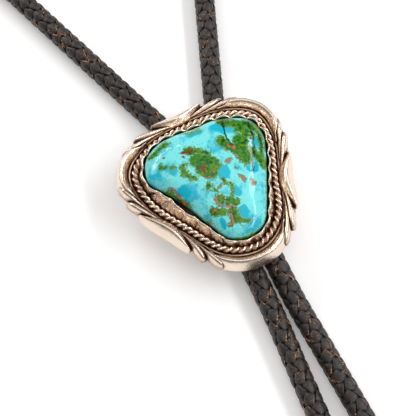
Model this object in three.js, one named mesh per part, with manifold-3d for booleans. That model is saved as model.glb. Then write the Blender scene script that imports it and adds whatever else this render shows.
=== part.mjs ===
// A bolo tie: a silver slide set with a domed stone, on a round braided cord with metal tips.
// Millimetres, +Z up. The tie lies on the plane z = 0 with its neck loop towards +Y and its two
// free ends towards -Y. The origin is under the middle of the slide.
import * as THREE from 'three';
import Module from 'manifold-3d';

const wasm = await Module();
wasm.setup();

// ---------------------------------------------------------------- driving dimensions

const GAP = 0.3;                 // clearance between pieces that touch on the real tie

const CORD_DIAMETER = 6;
const CORD_AXIS_X = 3;           // the cord runs this far to the right of the slide's middle
const CORD_SIDES = 8;
const CORD_STEPS = 80;
const RUN_SPACING = 6.3;         // between the two runs of cord in the clasp, axis to axis

const TIP = { length: 36, mouthDiameter: 7, endDiameter: 4.6, sides: 12 };

const CLASP = { floor: 0.9, wall: 1.4, back: -11, front: 8 };
const CLASP_TOP = CLASP.floor + CORD_DIAMETER + 2 * GAP;

const PLATE_BOTTOM = CLASP_TOP + GAP;
const PLATE_TOP = PLATE_BOTTOM + 1.2;

const RING_STEPS = 60;
const WIRE_RING = { radius: 0.9, sides: 6, sunk: 0.15 };

const SCALLOPS = 26;
const SCALLOP_STEPS = 3;
const BEZEL = { height: 3.2, scallop: 0.6, rim: 0.5, foot: -0.9 };

const STONE_STEPS = 60;
const STONE = { girdleTop: PLATE_TOP + 3, dome: 5.2, roundness: 2.6 };

// The middle of the slide's ring, measured from the origin.
const RING_CENTRE = new THREE.Vector2(0.6, 1.41);

// The twisted wire ring: a rounded triangle, by polar angle and radius about its middle.
const WIRE_RING_ROWS = [
  { place: 'left corner', angle: 150, radius: 21.5 },
  { place: 'left corner, upper flank', angle: 125, radius: 19.9 },
  { place: 'top side', angle: 92, radius: 18.0 },
  { place: 'right corner, upper flank', angle: 61, radius: 19.9 },
  { place: 'right corner', angle: 39, radius: 21.6 },
  { place: 'right corner, lower flank', angle: 19, radius: 19.1 },
  { place: 'right side', angle: -19, radius: 15.4 },
  { place: 'bottom corner, right flank', angle: -56, radius: 18.8 },
  { place: 'bottom corner', angle: -82, radius: 20.9 },
  { place: 'bottom corner, left flank', angle: -106, radius: 19.5 },
  { place: 'left side', angle: -146, radius: 15.4 },
  { place: 'left corner, lower flank', angle: -185, radius: 18.4 },
];

// The stone's girdle, by polar angle and radius about the same middle.
const STONE_ROWS = [
  { place: 'left end', angle: 141, radius: 19.1 },
  { place: 'upper left shoulder', angle: 125, radius: 18.1 },
  { place: 'upper left', angle: 110, radius: 16.5 },
  { place: 'top edge', angle: 88, radius: 15.2 },
  { place: 'upper right', angle: 67, radius: 16.6 },
  { place: 'right end', angle: 38, radius: 18.9 },
  { place: 'right shoulder', angle: 21, radius: 17.6 },
  { place: 'right edge, upper', angle: 3, radius: 14.8 },
  { place: 'right edge', angle: -27, radius: 13.2 },
  { place: 'right edge, lower', angle: -55, radius: 15.2 },
  { place: 'lower right shoulder', angle: -72, radius: 18.1 },
  { place: 'lower end', angle: -89, radius: 18.8 },
  { place: 'lower left shoulder', angle: -103, radius: 17.7 },
  { place: 'left edge, lower', angle: -122, radius: 13.8 },
  { place: 'left edge', angle: -156, radius: 11.4 },
  { place: 'left edge, upper', angle: -180, radius: 13.1 },
  { place: 'lower left end', angle: -200, radius: 17.9 },
];

// The plate and its raised border from the outside in: distance outside the wire ring, and height.
const BORDER_PROFILE = [
  { offset: 4.3, height: PLATE_BOTTOM },
  { offset: 4.3, height: PLATE_TOP + 0.2 },
  { offset: 3.7, height: PLATE_TOP + 1.2 },
  { offset: 2.0, height: PLATE_TOP + 0.3 },
  { offset: 1.8, height: PLATE_TOP + 0.7 },
  { offset: 1.2, height: PLATE_TOP + 0.7 },
  { offset: 1.0, height: PLATE_TOP },
];

// The three sides of the border, by polar angle: the middle of the long leaf, then how far its
// ends and the tips of the two small leaves beside it lie to either side of that middle.
const SIDES = [
  { name: 'top', middle: 95, longEnd: 17.8, innerTip: 31, outerTip: 41.4 },
  { name: 'right', middle: -22.5, longEnd: 23.5, innerTip: 35.6, outerTip: 45.6 },
  { name: 'left', middle: -154, longEnd: 21.6, innerTip: 33.1, outerTip: 43.9 },
];

// Cross-section of every leaf and band: part of the half-width, part of the height.
const LEAF_SECTION = [[-1, 0], [-1, 0.42], [-0.62, 0.85], [0, 1], [0.62, 0.85], [1, 0.42], [1, 0]];
const LEAF_BOTTOM = PLATE_BOTTOM;
const LONG_LEAF = { halfWidth: 1.9, height: 3.8, steps: 8, offset: 3.15, endOffset: 4.0 };
const SMALL_LEAF = { halfWidth: 1.2, height: 3.5, steps: 7, stemOffset: 1.6, tipOffset: 3.9 };
const CORNER_BAND = { halfWidth: 1.6, height: 3.7, steps: 16, stemOffset: 1.6, offset: 3.4 };
const CORNER_BAND_STEM = 11;     // degrees before the outer leaf's tip where a band's stem starts

// One half of the cord's route, from its end to the top of the neck loop: distance from the
// cord's axis of symmetry, distance along it, and height.
const HALF_ROUTE = [
  { across: 5.9, along: -84, up: 3.5 },
  { across: 5.0, along: -67, up: 3.0 },
  { across: 4.1, along: -50, up: 3.0 },
  { across: 3.3, along: -36, up: 3.0 },
  { across: RUN_SPACING / 2, along: -25, up: 3.3 },
  { across: RUN_SPACING / 2, along: -14, up: 4.1 },
  { across: RUN_SPACING / 2, along: 5, up: 4.2 },
  { across: 3.55, along: 12, up: 4.0 },
  { across: 5.4, along: 18, up: 3.6 },
  { across: 10.1, along: 31, up: 3.0 },
  { across: 28.0, along: 80, up: 3.0 },
  { across: 45.9, along: 129, up: 3.0 },
  { across: 63.2, along: 178, up: 3.0 },
  { across: 71.2, along: 203, up: 3.0 },
  { across: 75.2, along: 229, up: 3.0 },
  { across: 73.2, along: 255, up: 3.0 },
  { across: 64.0, along: 280, up: 3.0 },
  { across: 47.7, along: 300.7, up: 3.0 },
  { across: 25.6, along: 314.4, up: 3.0 },
  { across: 0, along: 319.3, up: 3.0 },
];

// ---------------------------------------------------------------- materials

const finishes = {
  silver: new THREE.MeshStandardMaterial({ color: 0xd9cfc6, roughness: 0.3, metalness: 1 }),
  turquoise: new THREE.MeshStandardMaterial({ color: 0x4fd3dc, roughness: 0.15, metalness: 0 }),
  leather: new THREE.MeshStandardMaterial({ color: 0x1f1b1a, roughness: 0.55, metalness: 0 }),
};

// ---------------------------------------------------------------- outlines

const radians = THREE.MathUtils.degToRad;

// A smooth closed curve through rows of polar angle and radius about the ring's middle.
function closedOutline(rows) {
  const points = rows.map(({ angle, radius }) => new THREE.Vector3(
    RING_CENTRE.x + radius * Math.cos(radians(angle)),
    RING_CENTRE.y + radius * Math.sin(radians(angle)),
    0,
  ));
  return new THREE.CatmullRomCurve3(points.reverse(), true, 'centripetal');
}

// Points at equal steps around a closed outline, each with its outward direction.
function walkOutline(outline, steps) {
  const walk = [];
  for (let i = 0; i < steps; i += 1) {
    const point = outline.getPointAt(i / steps);
    const along = outline.getTangentAt(i / steps);
    walk.push({ point, outward: new THREE.Vector3(-along.y, along.x, 0).negate() });
  }
  const { point, outward } = walk[0];
  const fromCentre = new THREE.Vector3(point.x - RING_CENTRE.x, point.y - RING_CENTRE.y, 0);
  if (outward.dot(fromCentre) < 0) {
    walk.forEach((stop) => stop.outward.negate());
  }
  return walk;
}

// The ring of points that lies a distance outside an outline, at one height.
function ringAt(walk, offset, height) {
  return walk.map(({ point, outward }) => (
    point.clone().addScaledVector(outward, offset).setZ(height)
  ));
}

function polarAngle(point) {
  return THREE.MathUtils.radToDeg(Math.atan2(point.y - RING_CENTRE.y, point.x - RING_CENTRE.x));
}

const wireRing = closedOutline(WIRE_RING_ROWS);
const fineWalk = walkOutline(wireRing, 720);

// The point a distance outside the wire ring, in the direction of a polar angle.
function besideRing(angle, offset) {
  let nearest = fineWalk[0];
  let least = Infinity;
  for (const stop of fineWalk) {
    const turn = THREE.MathUtils.euclideanModulo(polarAngle(stop.point) - angle + 180, 360) - 180;
    if (Math.abs(turn) < least) {
      least = Math.abs(turn);
      nearest = stop;
    }
  }
  return nearest.point.clone().addScaledVector(nearest.outward, offset);
}

// ---------------------------------------------------------------- solids

// A closed body through rings of equally many points. An open row of rings gets a fan at either
// end; a closed one joins its last ring to its first.
function ringBody(rings, joined = false) {
  const count = rings[0].length;
  const vertices = rings.flat().map((p) => p.clone());
  const faces = [];
  const spans = joined ? rings.length : rings.length - 1;
  for (let r = 0; r < spans; r += 1) {
    const here = r * count;
    const next = ((r + 1) % rings.length) * count;
    for (let i = 0; i < count; i += 1) {
      const j = (i + 1) % count;
      faces.push([here + i, here + j, next + j], [here + i, next + j, next + i]);
    }
  }
  if (!joined) {
    faces.push(...fan(vertices, 0, count, true));
    faces.push(...fan(vertices, (rings.length - 1) * count, count, false));
  }
  return outwardSolid(vertices, faces);
}

// The triangles that close a ring of points around its middle.
function fan(vertices, start, count, reversed) {
  const middle = new THREE.Vector3();
  for (let i = 0; i < count; i += 1) {
    middle.addScaledVector(vertices[start + i], 1 / count);
  }
  vertices.push(middle);
  const centre = vertices.length - 1;
  const faces = [];
  for (let i = 0; i < count; i += 1) {
    const a = start + i;
    const b = start + ((i + 1) % count);
    faces.push(reversed ? [centre, b, a] : [centre, a, b]);
  }
  return faces;
}

// A manifold solid from vertices and triangles, with its faces turned outwards.
function outwardSolid(vertices, faces) {
  const cross = new THREE.Vector3();
  let volume = 0;
  for (const [a, b, c] of faces) {
    volume += cross.crossVectors(vertices[a], vertices[b]).dot(vertices[c]);
  }
  const turned = volume < 0 ? faces.map(([a, b, c]) => [a, c, b]) : faces;
  return new wasm.Manifold(new wasm.Mesh({
    numProp: 3,
    vertProperties: new Float32Array(vertices.flatMap((v) => [v.x, v.y, v.z])),
    triVerts: new Uint32Array(turned.flat()),
  }));
}

function meshOf(name, solid, material) {
  const { vertProperties, triVerts } = solid.getMesh();
  const geometry = new THREE.BufferGeometry();
  geometry.setAttribute('position', new THREE.BufferAttribute(new Float32Array(vertProperties), 3));
  geometry.setIndex(new THREE.BufferAttribute(new Uint32Array(triVerts), 1));
  geometry.computeVertexNormals();
  const mesh = new THREE.Mesh(geometry, material);
  mesh.name = name;
  return mesh;
}

// ---------------------------------------------------------------- silver setting

// The back plate with its raised border.
function backPlate() {
  const walk = walkOutline(wireRing, RING_STEPS);
  return ringBody(BORDER_PROFILE.map(({ offset, height }) => ringAt(walk, offset, height)));
}

// The twisted wire, as the round ring that its strands fill.
function twistedWire() {
  const walk = walkOutline(wireRing, RING_STEPS);
  const { radius, sides, sunk } = WIRE_RING;
  const rings = [];
  for (let k = 0; k < sides; k += 1) {
    const turn = (2 * Math.PI * (k + 0.5)) / sides;
    const height = PLATE_TOP + radius - sunk + radius * Math.sin(turn);
    rings.push(ringAt(walk, radius * Math.cos(turn), height));
  }
  return ringBody(rings, true);
}

// The bezel: a wall that leans in from beside the wire ring to the stone, scalloped on top.
function scallopedBezel() {
  const steps = SCALLOPS * SCALLOP_STEPS;
  const stone = walkOutline(closedOutline(STONE_ROWS), steps);
  const foot = PLATE_TOP - 0.3;
  const rim = stone.map((stop, i) => (
    PLATE_TOP + BEZEL.height + BEZEL.scallop * Math.sin((Math.PI * (i % SCALLOP_STEPS)) / SCALLOP_STEPS)
  ));
  const inner = ringAt(stone, GAP + 0.05, 0);
  const outer = ringAt(stone, GAP + 0.05 + BEZEL.rim, 0);
  const base = stone.map(({ point }) => besideRing(polarAngle(point), BEZEL.foot));
  return ringBody([
    base.map((p) => p.clone().setZ(foot)),
    outer.map((p, i) => p.clone().setZ(rim[i])),
    inner.map((p, i) => p.clone().setZ(rim[i])),
    inner.map((p) => p.clone().setZ(foot)),
  ], true);
}

// A leaf or band: the leaf section carried along a spine of ring places, with the given share of
// its full half-width and height at each step from 0 to 1.
function leafAlong(places, steps, widthAt, heightAt) {
  const spine = new THREE.CatmullRomCurve3(places.map(([angle, offset]) => besideRing(angle, offset)));
  const rings = [];
  for (let i = 0; i <= steps; i += 1) {
    const t = i / steps;
    const point = spine.getPointAt(t);
    const along = spine.getTangentAt(t);
    const across = new THREE.Vector3(-along.y, along.x, 0).normalize();
    rings.push(LEAF_SECTION.map(([side, rise]) => (
      point.clone().addScaledVector(across, side * widthAt(t)).setZ(LEAF_BOTTOM + rise * heightAt(t))
    )));
  }
  return ringBody(rings);
}

// The long leaf along the middle of a side: pointed at both ends.
function longLeaf({ middle, longEnd }) {
  const { halfWidth, height, steps, offset, endOffset } = LONG_LEAF;
  const bulge = (t) => Math.sin(Math.PI * (0.06 + 0.88 * t));
  return leafAlong(
    [[middle - longEnd, endOffset], [middle, offset], [middle + longEnd, endOffset]],
    steps,
    (t) => halfWidth * bulge(t) ** 0.7,
    (t) => height * (0.72 + 0.28 * bulge(t)),
  );
}

// A small leaf: thin at its stem beside the inner wire, full and blunt at its tip.
function smallLeaf(stemAngle, tipAngle) {
  const { halfWidth, height, steps, stemOffset, tipOffset } = SMALL_LEAF;
  const swell = (t) => Math.min(1, 0.3 + 1.1 * t) - 0.45 * Math.max(0, t - 0.8) / 0.2;
  return leafAlong(
    [
      [stemAngle, stemOffset],
      [THREE.MathUtils.lerp(stemAngle, tipAngle, 0.55), THREE.MathUtils.lerp(stemOffset, tipOffset, 0.5)],
      [tipAngle, tipOffset],
    ],
    steps,
    (t) => halfWidth * swell(t),
    (t) => height * (0.62 + 0.38 * Math.min(1, 1.5 * t)),
  );
}

// The plain band around the corner between two sides, with a stem running in at either end.
function cornerBand(before, after) {
  const { halfWidth, height, steps, stemOffset, offset } = CORNER_BAND;
  const start = before.middle - before.outerTip;
  const end = after.middle + after.outerTip;
  const turn = THREE.MathUtils.euclideanModulo(start - end, 360);
  const full = (t) => Math.min(1, 0.3 + 4.5 * Math.min(t, 1 - t));
  const places = [
    [start + CORNER_BAND_STEM, stemOffset],
    [start, offset - 0.9],
    [start - turn * 0.25, offset],
    [start - turn * 0.5, offset + 0.1],
    [start - turn * 0.75, offset],
    [start - turn, offset - 0.9],
    [start - turn - CORNER_BAND_STEM, stemOffset],
  ];
  return leafAlong(places, steps, (t) => halfWidth * full(t), (t) => height * (0.6 + 0.4 * full(t)));
}

function silverSetting() {
  let solid = backPlate().add(twistedWire()).add(scallopedBezel());
  SIDES.forEach((side, i) => {
    const { middle, longEnd, innerTip, outerTip } = side;
    solid = solid.add(longLeaf(side));
    for (const hand of [-1, 1]) {
      solid = solid.add(smallLeaf(middle + hand * 0.15 * longEnd, middle + hand * innerTip));
      solid = solid.add(smallLeaf(middle + hand * 0.8 * longEnd, middle + hand * outerTip));
    }
    solid = solid.add(cornerBand(side, SIDES[(i + 1) % SIDES.length]));
  });
  return meshOf('silver_setting', solid, finishes.silver);
}

// ---------------------------------------------------------------- stone

// The stone: a straight girdle in the bezel and a dome that is steep at its edge.
function turquoiseStone() {
  const walk = walkOutline(closedOutline(STONE_ROWS), STONE_STEPS);
  const girdle = ringAt(walk, 0, 0);
  const shrunk = (scale, height) => girdle.map((p) => new THREE.Vector3(
    RING_CENTRE.x + (p.x - RING_CENTRE.x) * scale,
    RING_CENTRE.y + (p.y - RING_CENTRE.y) * scale,
    height,
  ));
  const rings = [shrunk(0.97, PLATE_TOP + GAP), shrunk(1, PLATE_TOP + 1.2), shrunk(1, STONE.girdleTop)];
  for (const scale of [0.985, 0.945, 0.87, 0.74, 0.52, 0.26]) {
    const rise = Math.sqrt(1 - scale ** STONE.roundness);
    rings.push(shrunk(scale, STONE.girdleTop + STONE.dome * rise));
  }
  return meshOf('turquoise_stone', ringBody(rings), finishes.turquoise);
}

// ---------------------------------------------------------------- clasp

// The clasp behind the plate: a plain trough, open upwards, that holds the two runs of cord.
function cordClasp() {
  const inside = (RUN_SPACING + CORD_DIAMETER) / 2 + GAP;
  const outside = inside + CLASP.wall;
  const section = new THREE.Shape([
    new THREE.Vector2(-outside, 0),
    new THREE.Vector2(outside, 0),
    new THREE.Vector2(outside, CLASP_TOP),
    new THREE.Vector2(inside, CLASP_TOP),
    new THREE.Vector2(inside, CLASP.floor),
    new THREE.Vector2(-inside, CLASP.floor),
    new THREE.Vector2(-inside, CLASP_TOP),
    new THREE.Vector2(-outside, CLASP_TOP),
  ]);
  const depth = CLASP.front - CLASP.back;
  const geometry = new THREE.ExtrudeGeometry(section, { depth, bevelEnabled: false });
  geometry.rotateX(Math.PI / 2);
  const mesh = new THREE.Mesh(geometry, finishes.silver);
  mesh.name = 'cord_clasp';
  mesh.position.set(CORD_AXIS_X, CLASP.front, 0);
  return mesh;
}

// ---------------------------------------------------------------- cord and tips

// The cord's whole route: the left half from its end to the top of the loop, then the right half.
function cordRoute() {
  const left = HALF_ROUTE.map(({ across, along, up }) => new THREE.Vector3(-across, along, up));
  const right = HALF_ROUTE.slice(0, -1).reverse()
    .map(({ across, along, up }) => new THREE.Vector3(across, along, up));
  return new THREE.CatmullRomCurve3([...left, ...right], false, 'centripetal');
}

function braidedCord() {
  const section = new THREE.Shape();
  for (let k = 0; k <= CORD_SIDES; k += 1) {
    const turn = (2 * Math.PI * (k + 0.5)) / CORD_SIDES;
    const x = (CORD_DIAMETER / 2) * Math.cos(turn);
    const y = (CORD_DIAMETER / 2) * Math.sin(turn);
    if (k === 0) section.moveTo(x, y);
    else section.lineTo(x, y);
  }
  const geometry = new THREE.ExtrudeGeometry(section, { steps: CORD_STEPS, extrudePath: cordRoute() });
  const mesh = new THREE.Mesh(geometry, finishes.leather);
  mesh.name = 'braided_cord';
  mesh.position.x = CORD_AXIS_X;
  return mesh;
}

// A tip: a plain tapered sleeve with a rounded end, lying on its side beyond the cord's end.
function cordTip(name, hand) {
  const { length, mouthDiameter, endDiameter, sides } = TIP;
  const mouth = mouthDiameter / 2;
  const end = endDiameter / 2;
  const profile = [
    new THREE.Vector2(0, 0),
    new THREE.Vector2(mouth, 0),
    new THREE.Vector2(mouth, 2.5),
    new THREE.Vector2(mouth - 0.3, 3),
    new THREE.Vector2(end + 0.2, length - end),
    new THREE.Vector2(end * 0.75, length - end * 0.4),
    new THREE.Vector2(0, length),
  ];
  const geometry = new THREE.LatheGeometry(profile, sides);
  const mesh = new THREE.Mesh(geometry, finishes.silver);
  mesh.name = name;
  const [last, before] = HALF_ROUTE;
  const away = new THREE.Vector3(
    hand * (last.across - before.across),
    last.along - before.along,
    0,
  ).normalize();
  mesh.quaternion.setFromUnitVectors(new THREE.Vector3(0, 1, 0), away);
  mesh.position.set(hand * last.across, last.along, mouth).addScaledVector(away, GAP);
  mesh.position.x += CORD_AXIS_X;
  return mesh;
}

// ---------------------------------------------------------------- the tie

const boloTie = new THREE.Group();
boloTie.add(silverSetting());
boloTie.add(turquoiseStone());
boloTie.add(cordClasp());
boloTie.add(braidedCord());
boloTie.add(cordTip('cord_tip_left', -1));
boloTie.add(cordTip('cord_tip_right', 1));

export default boloTie;
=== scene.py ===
"""The looks of a bolo tie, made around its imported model.

A silver slide holds a domed blue-green stone. A braided leather cord lies in the clasp behind it, goes
round as the neck loop and ends in two metal tips. Metres, +Z up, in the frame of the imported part: the
tie lies on z = 0 with the neck loop towards +Y, and the origin is under the middle of the slide.
"""

import logging
import math
from dataclasses import dataclass
from enum import Enum

import bmesh
import bpy
import numpy as np
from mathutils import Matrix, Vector, noise
from mathutils.bvhtree import BVHTree

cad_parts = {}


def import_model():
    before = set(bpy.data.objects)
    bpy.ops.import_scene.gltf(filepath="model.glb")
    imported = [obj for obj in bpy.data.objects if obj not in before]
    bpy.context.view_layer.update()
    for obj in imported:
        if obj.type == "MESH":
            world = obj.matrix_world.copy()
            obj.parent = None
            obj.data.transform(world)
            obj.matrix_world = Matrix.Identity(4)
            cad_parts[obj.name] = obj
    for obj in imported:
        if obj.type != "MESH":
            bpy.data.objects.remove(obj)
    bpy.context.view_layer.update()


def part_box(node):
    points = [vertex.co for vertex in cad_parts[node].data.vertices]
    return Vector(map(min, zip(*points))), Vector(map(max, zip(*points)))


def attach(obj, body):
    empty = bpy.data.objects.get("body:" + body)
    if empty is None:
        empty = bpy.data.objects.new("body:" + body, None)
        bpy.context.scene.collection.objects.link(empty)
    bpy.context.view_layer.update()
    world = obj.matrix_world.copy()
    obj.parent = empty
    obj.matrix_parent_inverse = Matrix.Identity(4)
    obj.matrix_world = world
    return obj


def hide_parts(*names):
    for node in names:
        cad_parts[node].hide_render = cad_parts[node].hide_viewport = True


MM = 0.001
NOISE_SEED = 36
LOG = logging.getLogger("bolo_tie")

Piece = bpy.types.Object
Material = bpy.types.Material
Socket = bpy.types.NodeSocket
Ring = list[Vector]
Pairs = list[tuple[float, float]]
Triple = tuple[float, float, float]


class Slot(Enum):
    """The record's material slots."""

    SETTING_SILVER = "setting_silver"
    TURQUOISE = "turquoise"
    BRAIDED_LEATHER = "braided_leather"
    FITTING_SILVER = "fitting_silver"


# ---- the workbench


def deselect_all() -> None:
    """Goes to object mode with nothing selected."""
    if bpy.context.object and bpy.context.object.mode != "OBJECT":
        bpy.ops.object.mode_set(mode="OBJECT")
    bpy.ops.object.select_all(action="DESELECT")


def take_up(*pieces: Piece) -> None:
    """Selects these pieces alone and makes the first one active.

    Args:
        pieces: the pieces to select.
    """
    deselect_all()
    for piece in pieces:
        piece.select_set(True)
    bpy.context.view_layer.objects.active = pieces[0]


def apply_modifiers(piece: Piece) -> None:
    """Applies all of a piece's modifiers in their order.

    Args:
        piece: the piece.
    """
    take_up(piece)
    for modifier in list(piece.modifiers):
        bpy.ops.object.modifier_apply(modifier=modifier.name)


def place_in_mesh(piece: Piece) -> None:
    """Moves a piece's place, turn and scale into its mesh, so that its object sits at the origin."""
    take_up(piece)
    bpy.ops.object.transform_apply(location=True, rotation=True, scale=True)


def joined(pieces: list[Piece]) -> Piece:
    """Joins pieces into the first one.

    Args:
        pieces: the pieces to join.

    Returns:
        The joined piece.
    """
    take_up(*pieces)
    if len(pieces) > 1:
        bpy.ops.object.join()
    return pieces[0]


def close_up(piece: Piece, within: float = 0.002 * MM) -> None:
    """Merges doubled points and turns the faces outwards.

    Args:
        piece: the piece.
        within: points nearer than this are merged, in metres.
    """
    take_up(piece)
    bpy.ops.object.mode_set(mode="EDIT")
    bpy.ops.mesh.select_all(action="SELECT")
    bpy.ops.mesh.remove_doubles(threshold=within)
    bpy.ops.mesh.normals_make_consistent(inside=False)
    bpy.ops.object.mode_set(mode="OBJECT")


def loft(rings: list[Ring], capped: bool = True) -> Piece:
    """Extrudes a loop of edges from ring to ring, as one drags a section along a form.

    Args:
        rings: rings of equally many points, in order.
        capped: whether the first and last ring get a face. Without caps, a loft whose last ring
            is its first closes on itself.

    Returns:
        The new mesh object, with its faces turned outwards.
    """
    deselect_all()
    bpy.ops.mesh.primitive_circle_add(vertices=len(rings[0]), radius=MM, fill_type="NOTHING")
    piece = bpy.context.object
    bpy.ops.object.mode_set(mode="EDIT")
    loop = list(range(len(rings[0])))
    for number, ring in enumerate(rings):
        if number:
            bpy.ops.mesh.extrude_region_move()
        form = bmesh.from_edit_mesh(piece.data)
        form.verts.ensure_lookup_table()
        if number:
            loop = [
                next(e.other_vert(form.verts[i]).index for e in form.verts[i].link_edges
                     if e.other_vert(form.verts[i]).select)
                for i in loop
            ]
        for index, point in zip(loop, ring):
            form.verts[index].co = point
        if capped and number in (0, len(rings) - 1):
            bpy.ops.mesh.edge_face_add()
            if number == 0:
                bpy.ops.mesh.select_mode(type="EDGE")
        bmesh.update_edit_mesh(piece.data)
    bpy.ops.object.mode_set(mode="OBJECT")
    close_up(piece)
    return piece


def on_root(piece: Piece, name: str, material: Material, slot: Slot, *stands_for: str) -> Piece:
    """Names a finished piece, dresses it and lets it ride on the tie's one body.

    Args:
        piece: the finished piece.
        name: its name.
        material: its material.
        slot: the record's slot that the material belongs to; it is not used.
        stands_for: the CAD nodes that the piece stands for.

    Returns:
        The piece.
    """
    piece.name = piece.data.name = name
    piece.data.materials.clear()
    piece.data.materials.append(material)
    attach(piece, "root")
    if stands_for:
        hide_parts(*stands_for)
    LOG.info("%s: %d faces", name, len(piece.data.polygons))
    return piece


# ---- curves and outlines


def smooth_curve(points: list[Vector], closed: bool, per_span: int = 24) -> list[Vector]:
    """Draws a centripetal Catmull-Rom curve through points.

    Args:
        points: the points that it passes through.
        closed: whether it comes back to its first point.
        per_span: how many points it gets for each span.

    Returns:
        The points of the curve, without a repeat of the first point where it is closed.
    """
    count = len(points)
    drawn = []
    for i in range(count if closed else count - 1):
        here, ahead = points[i], points[(i + 1) % count]
        before = points[i - 1] if closed or i else 2 * here - ahead
        after = points[(i + 2) % count] if closed or i + 2 < count else 2 * ahead - here
        a, b, c = (math.sqrt((q - p).length) for p, q in ((before, here), (here, ahead), (ahead, after)))
        leaving = ((here - before) / a - (ahead - before) / (a + b) + (ahead - here) / b) * b
        arriving = ((ahead - here) / b - (after - here) / (b + c) + (after - ahead) / c) * b
        for k in range(per_span):
            t = k / per_span
            drawn.append(
                (2 * t**3 - 3 * t**2 + 1) * here + (t**3 - 2 * t**2 + t) * leaving
                + (3 * t**2 - 2 * t**3) * ahead + (t**3 - t**2) * arriving
            )
    return drawn if closed else drawn + [points[-1].copy()]


def walked(line: list[Vector], places: np.ndarray) -> np.ndarray:
    """Finds the points that lie at given distances along a line.

    Args:
        line: the line's points.
        places: distances from its start, in metres.

    Returns:
        One row of x, y, z for each distance.
    """
    points = np.array(line, float)
    along = np.concatenate([[0], np.cumsum(np.linalg.norm(np.diff(points, axis=0), axis=1))])
    return np.stack([np.interp(places, along, points[:, axis]) for axis in range(3)], axis=1)


def length_of(line: list[Vector]) -> float:
    """The length of a line of points, in metres."""
    return sum((b - a).length for a, b in zip(line, line[1:]))


@dataclass(frozen=True)
class PolarRow:
    """A point of an outline: where it is, its polar angle in degrees and its radius in millimetres."""

    place: str
    angle: float
    radius: float


class Outline:
    """A smooth closed outline about the middle of the slide's ring, walked at equal steps."""

    def __init__(self, rows: tuple[PolarRow, ...], middle: Vector, steps: int) -> None:
        """Draws the outline anticlockwise, as seen from above.

        Args:
            rows: the points that it passes through.
            middle: the ring's middle.
            steps: how many points it is walked in.
        """
        self.middle = middle
        corners = []
        for row in sorted(rows, key=lambda row: row.angle % 360):
            turn = math.radians(row.angle)
            corners.append(middle + row.radius * MM * Vector((math.cos(turn), math.sin(turn), 0)))
        line = smooth_curve(corners, closed=True)
        line.append(line[0].copy())
        self.length = length_of(line)
        stops = walked(line, np.arange(steps) * self.length / steps)
        self.points = [Vector(stop) for stop in stops]
        self.outward = []
        for i in range(steps):
            along = self.points[(i + 1) % steps] - self.points[i - 1]
            self.outward.append(Vector((along.y, -along.x, 0)).normalized())
        self.angles = [self.angle_of(point) for point in self.points]

    def angle_of(self, point: Vector) -> float:
        """The polar angle of a point about the ring's middle, in degrees."""
        return math.degrees(math.atan2(point.y - self.middle.y, point.x - self.middle.x))

    def ring(self, offset: float, height: float) -> Ring:
        """The outline moved outwards by a distance, at one height."""
        moved = [point + offset * out for point, out in zip(self.points, self.outward)]
        return [Vector((point.x, point.y, height)) for point in moved]

    def place(self, angle: float, offset: float) -> Vector:
        """The point a distance outside the outline, in the direction of a polar angle in degrees."""
        turns = [abs((a - angle + 180) % 360 - 180) for a in self.angles]
        i = turns.index(min(turns))
        return self.points[i] + offset * self.outward[i]


RING_MIDDLE = Vector((0.6 * MM, 1.41 * MM, 0))

WIRE_RING = (
    PolarRow("left corner", 150, 21.5),
    PolarRow("left corner, upper flank", 125, 19.9),
    PolarRow("top side", 92, 18.0),
    PolarRow("right corner, upper flank", 61, 19.9),
    PolarRow("right corner", 39, 21.6),
    PolarRow("right corner, lower flank", 19, 19.1),
    PolarRow("right side", -19, 15.4),
    PolarRow("bottom corner, right flank", -56, 18.8),
    PolarRow("bottom corner", -82, 20.9),
    PolarRow("bottom corner, left flank", -106, 19.5),
    PolarRow("left side", -146, 15.4),
    PolarRow("left corner, lower flank", -185, 18.4),
)

STONE_GIRDLE = (
    PolarRow("left end", 141, 19.1),
    PolarRow("upper left shoulder", 125, 18.1),
    PolarRow("upper left", 110, 16.5),
    PolarRow("top edge", 88, 15.2),
    PolarRow("upper right", 67, 16.6),
    PolarRow("right end", 38, 18.9),
    PolarRow("right shoulder", 21, 17.6),
    PolarRow("right edge, upper", 3, 14.8),
    PolarRow("right edge", -27, 13.2),
    PolarRow("right edge, lower", -55, 15.2),
    PolarRow("lower right shoulder", -72, 18.1),
    PolarRow("lower end", -89, 18.8),
    PolarRow("lower left shoulder", -103, 17.7),
    PolarRow("left edge, lower", -122, 13.8),
    PolarRow("left edge", -156, 11.4),
    PolarRow("left edge, upper", -180, 13.1),
    PolarRow("lower left end", -200, 17.9),
)


# ---- finishes


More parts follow.
